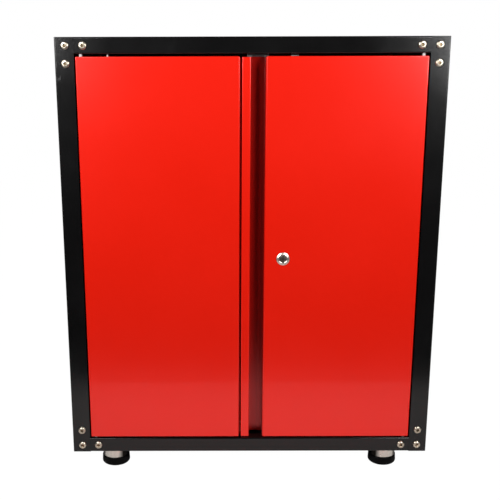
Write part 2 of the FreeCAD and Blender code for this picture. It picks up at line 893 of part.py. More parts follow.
def hinge_bush(side, level):
    """A flanged bush in the door's end, its flange filling the gap to the rail."""
    name = "Upper" if level == UPPER else "Lower"
    body = new_body(f"{name}_{SIDE_WORD[side]}_bush")
    x = f"{side} * hinge_line"
    if level == UPPER:
        seat, gap, tube = "door_top", "door_top_gap", "door_top - bush_length"
        flange = seat
    else:
        seat, gap, tube = "door_bottom", "door_bottom_gap", "door_bottom"
        flange = f"{seat} - ({gap} - fit_gap)"
    cylinder(body, "z", (x, "hinge_depth", flange), f"{gap} - fit_gap", "bush_flange_dia")
    cylinder(body, "z", (x, "hinge_depth", tube), "bush_length", "bush_dia")
    cylinder(body, "z", (x, "hinge_depth", f"{seat} - 2 * bush_length"), "4 * bush_length",
             "pin_dia + 2 * running_fit", cut=True)
    return body


def door_bushes(side):
    bundle = doc.addObject("Part::Compound", f"{SIDE_WORD[side]}_door_bushes")
    bundle.Links = [hinge_bush(side, LOWER), hinge_bush(side, UPPER)]
    doc.recompute()
    return bundle


def door_button():
    """A small nylon button on the left door's top end, which keeps it off the rail."""
    body = new_body("left_door_button")
    cylinder(body, "z", ("-button_line", "hinge_depth", "door_top"), "button_height", "button_dia")
    round_edges(body, "button_rounding",
                rim_at("z", number("door_top + button_height"), number("button_dia")))
    return body


def hinge_pins():
    """Four headed pins, pressed through the rails' flanges into the doors' ends."""
    master = new_body("Hinge_pin")
    cylinder(master, "z", ("0", "0", "0"), "pin_head_height", "pin_head_dia")
    length = "frame_sheet + door_top_gap + pin_reach"
    cylinder(master, "z", ("0", "0", f"-({length})"), length, "pin_dia")
    copies = []
    for side in (LEFT, RIGHT):
        x = f"{side} * hinge_line"
        copies.append((master, FreeCAD.Rotation(), (x, "hinge_depth", "lintel + frame_sheet")))
        copies.append((master, FreeCAD.Rotation(V(1, 0, 0), 180),
                       (x, "hinge_depth", "sill_top - frame_sheet")))
    return group("hinge_pins", copies)


# ---- lock ----

def lock_barrel():
    body = new_body("lock_barrel")
    front = "door_face - bezel_proud"
    cylinder(body, "y", ("lock_centre", front, "lock_height"), "bezel_proud", "bezel_dia")
    round_edges(body, "bezel_rounding", rim_at("y", number(front), number("bezel_dia")))
    cylinder(body, "y", ("lock_centre", "door_face", "lock_height"), "barrel_back - door_face",
             "barrel_dia")
    cylinder(body, "y", ("lock_centre", f"{front} - drill_reach", "lock_height"),
             f"barrel_back - ({front}) + 2 * drill_reach", "plug_dia + 2 * running_fit", cut=True)
    return body


def lock_plug():
    """The turning core: a round face with a keyhole, and a tail through the cam."""
    body = new_body("lock_plug")
    front = "door_face - bezel_proud + plug_recess"
    cylinder(body, "y", ("lock_centre", front, "lock_height"), f"cam_front - ({front})", "plug_dia")
    cylinder(body, "y", ("lock_centre", "cam_front", "lock_height"), "cam_sheet", "plug_tail_dia")
    box(body, centred("lock_centre", "keyhole_width"), (f"{front} - drill_reach", f"{front} + keyhole_depth"),
        centred("lock_height", "keyhole_length"), cut=True)
    cylinder(body, "y", ("lock_centre", "cam_back - cam_screw_depth", "lock_height"),
             "cam_screw_depth + drill_reach", "cam_screw_dia + 2 * running_fit", cut=True)
    return body


def lock_nut():
    master = nut_master("Lock_ring_nut", "lock_nut_flats", "lock_nut_height", "barrel_dia")
    return single(master, "lock_nut", facing(REAR),
                  ("lock_centre", "door_face + door_sheet", "lock_height"))


def lock_cam():
    """A long flat cam that hangs straight down when the door is unlocked."""
    body = new_body("lock_cam")
    tip = "lock_height - (cam_length - cam_width / 2)"
    cylinder(body, "y", ("lock_centre", "cam_front", "lock_height"), "cam_sheet", "cam_width")
    box(body, centred("lock_centre", "cam_width"), ("cam_front", "cam_back"), (tip, "lock_height"))
    cylinder(body, "y", ("lock_centre", "cam_front", tip), "cam_sheet", "cam_width")
    cylinder(body, "y", ("lock_centre", "cam_front - drill_reach", "lock_height"), "3 * drill_reach",
             "plug_tail_dia + 2 * running_fit", cut=True)
    return body


def cam_screw():
    body = new_body("cam_screw")
    cylinder(body, "y", ("lock_centre", "cam_back", "lock_height"), "cam_screw_head_height",
             "cam_screw_head_dia")
    round_edges(body, "cam_screw_head_height / 2",
                rim_at("y", number("cam_back + cam_screw_head_height"), number("cam_screw_head_dia")))
    length = "cam_screw_depth - fit_gap"
    cylinder(body, "y", ("lock_centre", f"cam_back - ({length})", "lock_height"), length, "cam_screw_dia")
    return body


# ---- catches and stops ----

def catch_span(level):
    """The catch's seat on the rail and the heights it fills."""
    if level == UPPER:
        return "lintel - catch_height", "lintel"
    return "sill_top", "sill_top + catch_height"


def catch_body(level, centre):
    name = "upper" if level == UPPER else "lower"
    body = new_body(f"{name}_catch_body")
    low, high = catch_span(level)
    box(body, centred(centre, "catch_width"), ("catch_front", "catch_front + catch_depth"), (low, high))
    round_edges(body, "catch_rounding", any_of(runs_along("y"), runs_along("z")))
    box(body, centred(centre, "magnet_width"), ("catch_front - drill_reach", "catch_front + magnet_depth"),
        centred(f"({low} + {high}) / 2", "magnet_height"), cut=True)
    for side in (LEFT, RIGHT):
        start = (f"{centre} + {side} * catch_screw_spread / 2", "catch_front + catch_screw_setback",
                 f"{low} - drill_reach")
        cylinder(body, "z", start, "catch_height + 2 * drill_reach",
                 "catch_screw_dia + 2 * running_fit", cut=True)
    return body


def catch_magnet(level, centre):
    name = "upper" if level == UPPER else "lower"
    body = new_body(f"{name}_catch_magnet")
    low, high = catch_span(level)
    box(body, centred(centre, "magnet_width"), ("catch_front", "catch_front + magnet_depth"),
        centred(f"({low} + {high}) / 2", "magnet_height"))
    return body


def catch_screws():
    """Two screws through each catch into the rail's flange."""
    master = new_body("Catch_screw")
    cylinder(master, "z", ("0", "0", "0"), "catch_screw_head_height", "catch_screw_head_dia")
    round_edges(master, "catch_screw_head_height * 0.6",
                rim_at("z", number("catch_screw_head_height"), number("catch_screw_head_dia")))
    length = "catch_height + frame_sheet + catch_screw_tail"
    cylinder(master, "z", ("0", "0", f"-({length})"), length, "catch_screw_dia")
    y = "catch_front + catch_screw_setback"
    down = FreeCAD.Rotation(V(1, 0, 0), 180)
    copies = []
    for side in (LEFT, RIGHT):
        shift = f"{side} * catch_screw_spread / 2"
        copies.append((master, down, (f"catch_centre + {shift}", y, "lintel - catch_height")))
        copies.append((master, FreeCAD.Rotation(),
                       (f"lower_catch_centre + {shift}", y, "sill_top + catch_height")))
    return group("catch_screws", copies)


def striker(side, centre, low, high):
    body = new_body(f"{SIDE_WORD[side]}_door_striker")
    box(body, centred(centre, "striker_width"), ("channel_back", "channel_back + striker_sheet"), (low, high))
    return body


def door_stops():
    """Small pads on the rails that the doors' folded edges close against."""
    master = new_body("Stop_pad")
    box(master, centred("0", "stop_width"), ("0", "stop_depth"), ("-stop_height", "0"))
    round_edges(master, "stop_rounding", runs_along("y"))
    y = "door_back + fit_gap"
    return group("door_stops", [
        (master, FreeCAD.Rotation(), ("stop_centre", y, "lintel")),
        (master, FreeCAD.Rotation(), ("-stop_centre", y, "sill_top + stop_height")),
    ])


# ---- feet ----

def foot(side, end):
    """One foot: a boot and its stud, under a bright sleeve fixed to the frame."""
    name = f"{END_WORD[end]}_{SIDE_WORD[side]}_foot"
    x = f"{side} * foot_line"
    y = f"{end} * foot_row"

    boot = new_body(f"{name}_boot")
    cylinder(boot, "z", (x, y, "0"), "boot_height", "boot_dia")
    round_edges(boot, "boot_rounding", rim_at("z", 0, number("boot_dia")))
    round_edges(boot, "boot_lip_rounding", rim_at("z", number("boot_height"), number("boot_dia")))
    cylinder(boot, "z", (x, y, "boot_socket_floor"), "boot_height", "stud_dia + 2 * running_fit", cut=True)

    stud = new_body(f"{name}_stud")
    cylinder(stud, "z", (x, y, "stud_bottom"), "stud_length", "stud_dia")
    collar = [(f"{x} + {across}", f"{y} + {along}") for across, along in hexagon("stud_collar_flats")]
    pad(stud, "XY_Plane", collar, "boot_height", "boot_height + stud_collar_height")

    sleeve = new_body(f"{name}_sleeve")
    low = "boot_height + sleeve_gap"
    cylinder(sleeve, "z", (x, y, low), f"foot_height - ({low})", "sleeve_dia")
    cylinder(sleeve, "z", (x, y, f"{low} - drill_reach"),
             f"foot_height - sleeve_wall - ({low}) + drill_reach", "sleeve_dia - 2 * sleeve_wall", cut=True)
    drill_down(sleeve, x, y, "foot_height", "stud_dia + hole_play")
    return [boot, stud, sleeve]


def foot_nuts():
    master = nut_master("Foot_nut", "stud_collar_flats", "foot_nut_height", "stud_dia")
    copies = []
    for side in (LEFT, RIGHT):
        for end in (FRONT, REAR):
            place = (f"{side} * foot_line", f"{end} * foot_row", "foot_height + frame_sheet")
            copies.append((master, FreeCAD.Rotation(), place))
    return group("foot_nuts", copies)


def frame_pieces():
    pieces = []
    plate = gusset_master()
    for end in (FRONT, REAR):
        pieces += [post(side, end) for side in (LEFT, RIGHT)]
        pieces += [top_rail(end), bottom_rail(end), gussets(end, plate)]
    return pieces + frame_fasteners()


def panel_pieces():
    pieces = [side_panel(side) for side in (LEFT, RIGHT)]
    return pieces + [top_panel(), floor_panel(), back_panel(), panel_screws()]


def shelf_pieces():
    pieces = [standard(side, end) for side in (LEFT, RIGHT) for end in (FRONT, REAR)]
    return pieces + [shelf_clips(), shelf()]


def door_pieces():
    return [
        left_door_skin(),
        stiffener(LEFT, "-door_edge", "left_free_edge"),
        striker(LEFT, "lower_catch_centre", "door_bottom + striker_margin",
                "sill_top + catch_height + striker_margin"),
        door_bushes(LEFT),
        door_button(),
        right_door_skin(),
        right_door_pull(),
        stiffener(RIGHT, "mouth_right", "door_edge"),
        striker(RIGHT, "catch_centre", "lintel - catch_height - striker_margin",
                "door_top - pull_end_gap - striker_margin"),
        door_bushes(RIGHT),
        hinge_pins(),
    ]


def lock_pieces():
    return [lock_barrel(), lock_plug(), lock_nut(), lock_cam(), cam_screw()]


def catch_pieces():
    return [
        catch_body(UPPER, "catch_centre"),
        catch_magnet(UPPER, "catch_centre"),
        catch_body(LOWER, "lower_catch_centre"),
        catch_magnet(LOWER, "lower_catch_centre"),
        catch_screws(),
        door_stops(),
    ]


def foot_pieces():
    pieces = []
    for side in (LEFT, RIGHT):
        for end in (FRONT, REAR):
            pieces += foot(side, end)
    return pieces + [foot_nuts()]


def check_document():
    doc.recompute()
    for item in doc.Objects:
        if "Invalid" in item.State or "Error" in item.State:
            raise RuntimeError(f"{item.Label} could not be computed: {item.State}")


def export(pieces):
    os.makedirs("parts", exist_ok=True)
    for piece in pieces:
        if piece.Shape.isNull() or not piece.Shape.isValid() or not piece.Shape.Solids:
            raise RuntimeError(f"{piece.Label} has no sound shape")
    for piece in pieces:
        piece.Shape.exportStep(os.path.join("parts", f"{piece.Label}.step"))
        print(f"{piece.Label}: {len(piece.Shape.Solids)} solids, {piece.Shape.Volume / 1000:.1f} cm3")


cabinet = (frame_pieces() + panel_pieces() + shelf_pieces() + door_pieces() + lock_pieces()
           + catch_pieces() + foot_pieces())
check_document()
export(cabinet)
print(f"{len(cabinet)} pieces")
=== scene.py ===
import json
import math

import bpy
import numpy as np
from mathutils import Matrix, Vector


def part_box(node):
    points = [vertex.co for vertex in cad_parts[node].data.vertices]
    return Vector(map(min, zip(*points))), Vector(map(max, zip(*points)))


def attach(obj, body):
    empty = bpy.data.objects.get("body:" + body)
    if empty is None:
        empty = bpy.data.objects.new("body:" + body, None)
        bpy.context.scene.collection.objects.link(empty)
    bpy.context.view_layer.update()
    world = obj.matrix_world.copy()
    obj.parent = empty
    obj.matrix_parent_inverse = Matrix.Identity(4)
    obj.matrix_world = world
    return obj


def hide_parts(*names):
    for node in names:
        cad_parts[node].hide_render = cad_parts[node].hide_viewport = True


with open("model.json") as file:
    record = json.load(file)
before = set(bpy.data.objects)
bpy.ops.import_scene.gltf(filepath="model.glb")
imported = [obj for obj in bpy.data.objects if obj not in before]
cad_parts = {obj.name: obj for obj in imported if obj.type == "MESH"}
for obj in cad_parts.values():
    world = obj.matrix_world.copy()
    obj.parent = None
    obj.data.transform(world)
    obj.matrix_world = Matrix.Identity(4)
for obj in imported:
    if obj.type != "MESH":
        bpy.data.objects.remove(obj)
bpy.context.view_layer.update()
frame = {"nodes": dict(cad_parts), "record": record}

nodes = frame["nodes"]
scene = bpy.context.scene
scene.view_settings.view_transform = "Standard"


cameraSetup = {
    "sensor": 36.0,                     # millimetres
    "lens": 61.13,                      # millimetres
    "place": (-0.0599, -1.7949, 0.849),
    "pitch": 14.31,                     # degrees down
    "yaw": 0.146,
    "roll": 0.174,
    "shift": (0.0654, 0.0060),          # shares of the picture's width
}


def turnAbout(axis, degrees):
    return Matrix.Rotation(math.radians(degrees), 4, axis)


def makeCamera(setup):
    camera = bpy.data.objects.new("camera", bpy.data.cameras.new("camera"))
    camera.data.sensor_width = setup["sensor"]
    camera.data.lens = setup["lens"]
    camera.data.shift_x, camera.data.shift_y = setup["shift"]
    level = turnAbout("X", 90)          # looks along +Y with +Z up
    turned = turnAbout("Z", setup["yaw"]) @ turnAbout("X", -setup["pitch"]) @ turnAbout("Y", setup["roll"])
    camera.matrix_world = Matrix.Translation(setup["place"]) @ turned @ level
    scene.collection.objects.link(camera)
    scene.camera = camera


makeCamera(cameraSetup)
print("camera set")


def span(node):
    # a node's lowest and highest corners at rest
    low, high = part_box(node)
    return np.array(low), np.array(high)


def middleOf(node):
    low, high = span(node)
    return (low + high) / 2


class Flow:
    # the output of a shader node; sums and products of it add Math nodes
    def __init__(self, shader, socket):
        self.shader = shader
        self.socket = socket

    def maths(self, operation, first, second):
        return self.shader.node("ShaderNodeMath", {"operation": operation}, {0: first, 1: second})

    def __add__(self, other):
        return self.maths("ADD", self, other)

    def __radd__(self, other):
        return self.maths("ADD", other, self)

    def __mul__(self, other):
        return self.maths("MULTIPLY", self, other)

    def __rmul__(self, other):
        return self.maths("MULTIPLY", other, self)


class Shader:
    # a procedural material, built up node by node
    def __init__(self, name):
        self.material = bpy.data.materials.new(name)
        self.material.use_nodes = True
        self.tree = self.material.node_tree
        self.tree.nodes.clear()

    def node(self, kind, settings=None, inputs=None, output=0):
        # settings come first, because they decide which sockets there are
        made = self.tree.nodes.new(kind)
        for key, value in (settings or {}).items():
            setattr(made, key, value)
        for key, value in (inputs or {}).items():
            if isinstance(value, Flow):
                self.tree.links.new(value.socket, made.inputs[key])
            else:
                made.inputs[key].default_value = value
        return Flow(self, made.outputs[output])

    def place(self):
        return self.node("ShaderNodeTexCoord", output="Object")

    def along(self, axis):
        return self.node("ShaderNodeSeparateXYZ", inputs={0: self.place()}, output="XYZ".index(axis))

    def vector(self, operation, first, second=(0, 0, 0)):
        return self.node("ShaderNodeVectorMath", {"operation": operation}, {0: first, 1: second})

    def distance(self, first, second):
        return self.node("ShaderNodeVectorMath", {"operation": "DISTANCE"}, {0: first, 1: second}, "Value")

    def noise(self, scale, detail=3.0, stretch=(1, 1, 1)):
        spot = self.vector("MULTIPLY", self.place(), stretch)
        return self.node("ShaderNodeTexNoise", inputs={"Vector": spot, "Scale": scale, "Detail": detail})

    def near(self, point, size):
        # 1 at a point, falling to 0 at a distance of size
        return self.ramp(self.distance(self.place(), point), 0.0, size, 1.0, 0.0)

    def ramp(self, value, low, high, fromLevel=0.0, toLevel=1.0):
        # goes from one level to the other as the value goes from low to high
        return self.node("ShaderNodeMapRange", {"clamp": True}, {
            "Value": value, "From Min": low, "From Max": high, "To Min": fromLevel, "To Max": toLevel})

    def sway(self, pattern, middle, reach):
        # from reach below the middle level to reach above it, as the pattern goes from 0 to 1
        return self.ramp(pattern, 0.0, 1.0, middle - reach, middle + reach)

    def blend(self, share, first, second):
        return self.node("ShaderNodeMix", {"data_type": "RGBA"}, {0: share, 6: first, 7: second}, 2)

    def bump(self, height, distance, normal=None):
        inputs = {"Height": height, "Distance": distance, "Strength": 1.0}
        if normal is not None:
            inputs["Normal"] = normal
        return self.node("ShaderNodeBump", inputs=inputs)

    def surface(self, flow):
        out = self.tree.nodes.new("ShaderNodeOutputMaterial")
        self.tree.links.new(flow.socket, out.inputs["Surface"])
        return self.material

    def finish(self, values):
        return self.surface(self.node("ShaderNodeBsdfPrincipled", inputs=values))


def colour(red, green, blue):
    return (red, green, blue, 1.0)


patternSetup = {
    # the levels of noise between which each pattern comes up
    "driftEdges": (0.3, 0.7), "glossEdges": (0.1, 0.9), "rubbedEdges": (0.62, 0.78),
    "speckEdges": (0.45, 0.6), "dullEdges": (0.45, 0.75),
    # how each pattern is stretched along x, y and z
    "rubbedStretch": (1, 1, 0.3), "speckStretch": (1, 1, 0.5), "waveStretch": (1, 1, 0.6),
    # what each pattern adds to the roughness
    "paintSway": 0.03, "mouldedSway": 0.05, "rubbedRough": 0.1, "streakRough": 0.04,
    # metres over which a tone fades: at a corner or a socket, and where a door's rear face begins
    "fade": 0.0006, "rearFade": 0.001,
}


def powderCoat(name, look):
    # pebbled powder coat: a fine bump, a sheen that drifts, faint rubbed patches and maybe a scuff
    shader, pattern = Shader(name), patternSetup
    pebble = shader.noise(look["grain"], detail=2.0)
    drift = shader.ramp(shader.noise(look["drift"], detail=4.0), *pattern["driftEdges"])
    worn = shader.noise(look["rubbedScale"], detail=6.0, stretch=pattern["rubbedStretch"])
    share = shader.ramp(worn, *pattern["rubbedEdges"]) * look["rubbedShare"]
    if "scuffPlace" in look:
        speck = shader.noise(look["scuffGrain"], detail=3.0, stretch=pattern["speckStretch"])
        scuff = shader.near(look["scuffPlace"], look["scuffSize"])
        share = share + scuff * shader.ramp(speck, *pattern["speckEdges"])
    base = shader.blend(drift, look["dark"], look["light"])
    return shader.finish({
        "Base Color": shader.blend(share, base, look["rubbedColour"]),
        "Roughness": shader.sway(drift, look["rough"], pattern["paintSway"]) + share * pattern["rubbedRough"],
        "Specular IOR Level": look["specular"],
        "Normal": shader.bump(pebble, look["grainDepth"]),
    })


framePaint = powderCoat("frame_black_powder", {
    "grain": 1500, "grainDepth": 0.00003, "drift": 9, "rubbedScale": 26, "rubbedShare": 0.12,
    "dark": colour(0.0023, 0.0022, 0.0023), "light": colour(0.0033, 0.0032, 0.0033),
    "rubbedColour": colour(0.024, 0.024, 0.025), "rough": 0.185, "specular": 0.5,
    "scuffPlace": (-0.3475, -0.230, 0.776), "scuffSize": 0.008, "scuffGrain": 420,  # on the left post
})
panelPaint = powderCoat("panel_black_powder", {
    "grain": 1300, "grainDepth": 0.00007, "drift": 6, "rubbedScale": 18, "rubbedShare": 0.15,
    "dark": colour(0.0060, 0.0060, 0.0064), "light": colour(0.0095, 0.0095, 0.0102),
    "rubbedColour": colour(0.035, 0.035, 0.037), "rough": 0.60, "specular": 0.2,
})


def glossPaint(name, look):
    # gloss coat: orange peel, the slow waves of a thin sheet, and painted shade inside the folds
    shader, pattern = Shader(name), patternSetup
    peel = shader.noise(look["peel"], detail=1.5)
    wave = shader.noise(look["wave"], detail=1.0, stretch=pattern["waveStretch"])
    drift = shader.ramp(shader.noise(look["drift"], detail=3.0), *pattern["glossEdges"])
    normal = shader.bump(peel, look["peelDepth"], shader.bump(wave, look["waveDepth"]))
    face = span("right_door_skin")[0][1]
    inside = shader.ramp(shader.along("Y"), face + look["foldStart"], face + look["foldFull"])
    outside = shader.blend(drift, look["dark"], look["light"])
    base = shader.blend(inside, outside, look["inside"])
    # painted shade, darkest in the far corner of the finger channel
    across, end = shader.along("X"), span("right_door_pull")[1][0]
    nearing = shader.ramp(across, end - look["cornerStart"], end - look["cornerFull"])
    corner = inside * nearing * shader.ramp(across, end + look["cornerPast"],
                                            end + look["cornerPast"] + pattern["fade"], 1.0, 0.0)
    return shader.finish({
        "Base Color": shader.blend(corner, base, look["corner"]),
        "Roughness": shader.sway(drift, look["rough"], pattern["paintSway"]),
        "IOR": look["bending"],
        "Specular Tint": look["mirrorTint"],
        "Coat Weight": shader.ramp(inside, 0.0, 1.0, look["coat"], 0.0),
        "Coat Roughness": look["coatRough"],
        "Normal": normal,
    })


doorPaint = glossPaint("door_red_gloss", {
    "peel": 420, "peelDepth": 0.00003, "wave": 3.2, "waveDepth": 0.0008, "drift": 5,
    "dark": colour(0.64, 0.0086, 0.0017), "light": colour(0.68, 0.0096, 0.0022), "rough": 0.25,
    # painted shade inside the folds and in the channel's far corner; metres behind the doors' face, and back
    # from the far wall of the finger channel
    "inside": colour(0.41, 0.0040, 0.0012), "foldStart": 0.0017, "foldFull": 0.0060,
    "corner": colour(0.145, 0.0014, 0.0004), "cornerStart": 0.014, "cornerFull": 0.005, "cornerPast": 0.0002,
    "bending": 2.4, "mirrorTint": colour(1.0, 0.236, 0.236), "coat": 0.22, "coatRough": 0.02,
})


boltLayout = {"headRadius": 0.0075, "spacing": 0.032}


def boltCorner(layout):
    # the height midway between the corners, and one corner's three bolts from there, as x and z:
    # in the corner itself, along the rail and along the post
    low, high = span("frame_bolts")
    line, spacing = high[0] - layout["headRadius"], layout["spacing"]
    middle, half = (low[2] + high[2]) / 2, (high[2] - low[2]) / 2 - layout["headRadius"]
    return middle, np.array([(line, half), (line - spacing, half), (line, half - spacing)])


def plating(name, look):
    # plated metal with faint streaks and a dulled patch here and there
    shader, pattern = Shader(name), patternSetup
    streak = shader.noise(look["streak"], detail=4.0, stretch=look["stretch"])
    streak = shader.ramp(streak, *pattern["driftEdges"])
    dull = shader.ramp(shader.noise(look["patch"], detail=3.0), *pattern["dullEdges"])
    base = shader.blend(streak, look["dark"], look["light"])
    if "innerShade" in look:
        # painted shade on the side that faces the cabinet's middle, standing in for the shadowed floor under
        # the cabinet mirrored in the chrome
        across = shader.node("ShaderNodeMath", {"operation": "ABSOLUTE"}, {0: shader.along("X")})
        line = middleOf("front_right_foot_sleeve")[0]
        bright = shader.ramp(across, line - look["innerShadeFull"], line - look["innerShadeStart"])
        base = shader.blend(bright, look["innerShade"], base)
    if "socketShade" in look:
        # painted shade, dark in each socket; the four corners mirror one another, so one corner's places do
        # for all
        middle, corner = boltCorner(boltLayout)
        folded = shader.vector("SUBTRACT", shader.place(), (0, 0, middle))
        folded = shader.vector("MULTIPLY", shader.vector("ABSOLUTE", folded), (1, 0, 1))
        unshaded = 1.0
        for x, z in corner:
            gap = shader.distance(folded, (x, 0, z))
            unshaded = unshaded * shader.ramp(gap, look["socketRadius"], look["socketRadius"] + pattern["fade"])
        base = shader.blend(unshaded, look["socketShade"], base)
    return shader.finish({
        "Base Color": base,
        "Metallic": 1.0,
        "Roughness": look["rough"] + dull * look["dullness"] + streak * pattern["streakRough"],
        "Normal": shader.bump(streak, look["depth"]),
    })


nickel = plating("bolt_nickel_plate", {
    "streak": 900, "stretch": (1, 1, 1), "patch": 160, "dark": colour(0.56, 0.49, 0.39),
    "light": colour(0.76, 0.68, 0.56), "rough": 0.28, "dullness": 0.08, "depth": 0.00001,
    # painted shade inside each bolt's socket
    "socketShade": colour(0.20, 0.145, 0.085), "socketRadius": 0.0028,
})
zinc = plating("zinc_plate", {
    "streak": 500, "stretch": (1, 1, 0.2), "patch": 60, "dark": colour(0.40, 0.41, 0.43),
    "light": colour(0.58, 0.59, 0.61), "rough": 0.30, "dullness": 0.12, "depth": 0.00002,
})
lockChrome = plating("lock_chrome_plate", {
    "streak": 700, "stretch": (1, 1, 1), "patch": 150, "dark": colour(0.74, 0.68, 0.60),
    "light": colour(0.88, 0.82, 0.74), "rough": 0.30, "dullness": 0.06, "depth": 0.000004,
})
footChrome = plating("foot_chrome_plate", {
    "streak": 240, "stretch": (1, 1, 0.2), "patch": 70, "dark": colour(0.78, 0.72, 0.65),
    "light": colour(0.95, 0.89, 0.82), "rough": 0.16, "dullness": 0.10, "depth": 0.00001,
    # painted shade colour for the sleeve's inner side
    "innerShade": colour(0.012, 0.009, 0.007),
    "innerShadeStart": 0.0075, "innerShadeFull": 0.0165,      # metres from the sleeve's middle line
})
turnedSteel = plating("turned_steel", {
    "streak": 1600, "stretch": (1, 0.15, 1), "patch": 200, "dark": colour(0.19, 0.160, 0.135),
    "light": colour(0.36, 0.31, 0.27), "rough": 0.36, "dullness": 0.1, "depth": 0.00002,
})


def moulded(name, look):
    # moulded plastic or rubber with a fine matt grain
    shader, pattern = Shader(name), patternSetup
    grain = shader.noise(look["grain"], detail=2.0)
    drift = shader.ramp(shader.noise(look["drift"], detail=3.0), *pattern["driftEdges"])
    base = shader.blend(drift, look["dark"], look["light"])
    if "seat" in look:
        # painted shade, dark near the top rail and behind the doors, where the rail shades the piece
        rail, rear = span("front_top_rail")[0][2], span("right_door_skin")[1][1] - pattern["rearFade"]
        railShaded = shader.ramp(shader.along("Z"), rail - look["seatStart"], rail - look["seatFull"])
        behind = shader.ramp(shader.along("Y"), rear - pattern["rearFade"], rear)
        base = shader.blend(railShaded * behind, base, look["seat"])
    return shader.finish({
        "Base Color": base,
        "Roughness": shader.sway(drift, look["rough"], pattern["mouldedSway"]),
        "Specular IOR Level": look["specular"],
        "Normal": shader.bump(grain, look["grainDepth"]),
    })


bootRubber = moulded("foot_rubber", {
    "grain": 1400, "grainDepth": 0.00005, "drift": 60, "dark": colour(0.0009, 0.0008, 0.0009),
    "light": colour(0.0020, 0.0019, 0.0020), "rough": 0.34, "specular": 0.07,
})
nylon = moulded("white_nylon", {
    "grain": 900, "grainDepth": 0.00004, "drift": 120, "dark": colour(0.38, 0.36, 0.35),
    "light": colour(0.46, 0.44, 0.43), "rough": 0.38, "specular": 0.5,
    # painted shade near the top rail
    "seat": colour(0.002, 0.002, 0.002), "seatStart": 0.0045, "seatFull": 0.0033,   # metres under the rail
})
catchPlastic = moulded("catch_plastic", {
    "grain": 1000, "grainDepth": 0.00004, "drift": 90, "dark": colour(0.20, 0.185, 0.19),
    "light": colour(0.26, 0.245, 0.25), "rough": 0.4, "specular": 0.5,
    # painted shade near the top rail
    "seat": colour(0.002, 0.002, 0.002), "seatStart": 0.0047, "seatFull": 0.0031,
})
ferrite = moulded("catch_ferrite", {
    "grain": 1200, "grainDepth": 0.00006, "drift": 150, "dark": colour(0.030, 0.030, 0.032),
    "light": colour(0.050, 0.050, 0.053), "rough": 0.5, "specular": 0.5,
})

slotFinish = {
    "frame_black": framePaint,
    "panel_black": panelPaint,
    "door_red": doorPaint,
    "bolt_nickel": nickel,
    "zinc_fastener": zinc,
    "zinc_sheet": zinc,
    "lock_chrome": lockChrome,
    "lock_core_steel": turnedSteel,
    "foot_chrome": footChrome,
    "foot_rubber": bootRubber,
    "white_nylon": nylon,
    "catch_plastic": catchPlastic,
    "catch_magnet": ferrite,
}
nodeSlot = {part["node"]: part["material_slot"] for part in frame["record"]["subparts"]}
for nodeName, slotName in nodeSlot.items():
    slots = nodes[nodeName].data.materials
    slots.clear()
    slots.append(slotFinish[slotName])
print("finishes made")


unbounded = 1.0         # metres, more than any flats measure
sliver = 0.0001         # metres, the least step between two rows
hexShare = math.cos(math.pi / 6)    # a hexagon's flats from its middle, its corners being 1 from it


def row(height, radius, flats=unbounded, cut=0.0):
    return np.array([[height, radius, flats, cut]])


def arc(height, radius, size, start, stop, count=7):
    # height + size sin t and radius + size cos t, from one angle to the other
    t = np.radians(np.linspace(start, stop, count))
    return np.stack([height + size * np.sin(t), radius + size * np.cos(t),
                     np.full(count, unbounded), np.zeros(count)], axis=1)


def threadRows(high, low, radius, pitch, cut, perPitch=6):
    heights = np.arange(high, low, -pitch / perPitch)
    plain = np.ones_like(heights)
    return np.stack([heights, radius * plain, unbounded * plain, cut * plain], axis=1)


def hexReach(turn):
    # how far a hexagon reaches at a turn, its flats being 1 from its middle
    return 1 / np.cos(np.mod(turn, math.pi / 3) - math.pi / 6)


def slotReach(ratio):
    # the same for a slot of half width 1 and half length ratio
    return lambda turn: 1 / np.maximum(np.abs(np.cos(turn)), np.abs(np.sin(turn)) / ratio)


def crossReach(ratio):
    single = slotReach(ratio)
    return lambda turn: np.maximum(single(turn), single(turn + math.pi / 2))


def turnedForm(rows, around, reach=hexReach, pitch=1.0):
    # radius(k, a) = min(radius[k], flats[k] reach(a)) - cut[k] |2 frac(height[k] / pitch + a / 2 pi) - 1|
    # point(k, a) = (radius cos a, radius sin a, height[k]); end rows of radius 0 are single points,
    # and where the ends have a radius, the last row meets the first
    rows = np.concatenate(rows)
    hasPoles = rows[0, 1] == 0
    body = rows[1:-1] if hasPoles else rows
    height, radius, flats, cut = body.T[:, :, None]
    turn = np.linspace(0, 2 * math.pi, around, endpoint=False)[None, :]
    wave = np.abs(2 * np.mod(height / pitch + turn / (2 * math.pi), 1) - 1)
    size = np.minimum(radius, flats * reach(turn)) - cut * wave
    points = np.stack([size * np.cos(turn), size * np.sin(turn), height + 0 * turn], axis=2).reshape(-1, 3)
    ring = np.arange(len(body) * around).reshape(len(body), around)
    if not hasPoles:
        ring = np.vstack([ring, ring[:1]])
    onward = np.roll(ring, -1, axis=1)
    quads = np.stack([ring[:-1], ring[1:], onward[1:], onward[:-1]], axis=2).reshape(-1, 4)
    if not hasPoles:
        return points, quads, np.empty((0, 3), int)
    first = np.full(around, len(points))
    fans = np.concatenate([np.stack([first, ring[0], onward[0]], axis=1),
                           np.stack([ring[-1], first + 1, onward[-1]], axis=1)])
    ends = [[0, 0, rows[0, 0]], [0, 0, rows[-1, 0]]]
    return np.concatenate([points, ends]), quads, fans


# the rows say where a form's own x, y and z point
facingFront = np.array([[1, 0, 0], [0, 0, 1], [0, -1, 0]], float)
facingRear = np.array([[-1, 0, 0], [0, 0, 1], [0, 1, 0]], float)
facingUp = np.eye(3)
facingDown = np.array([[1, 0, 0], [0, -1, 0], [0, 0, -1]], float)


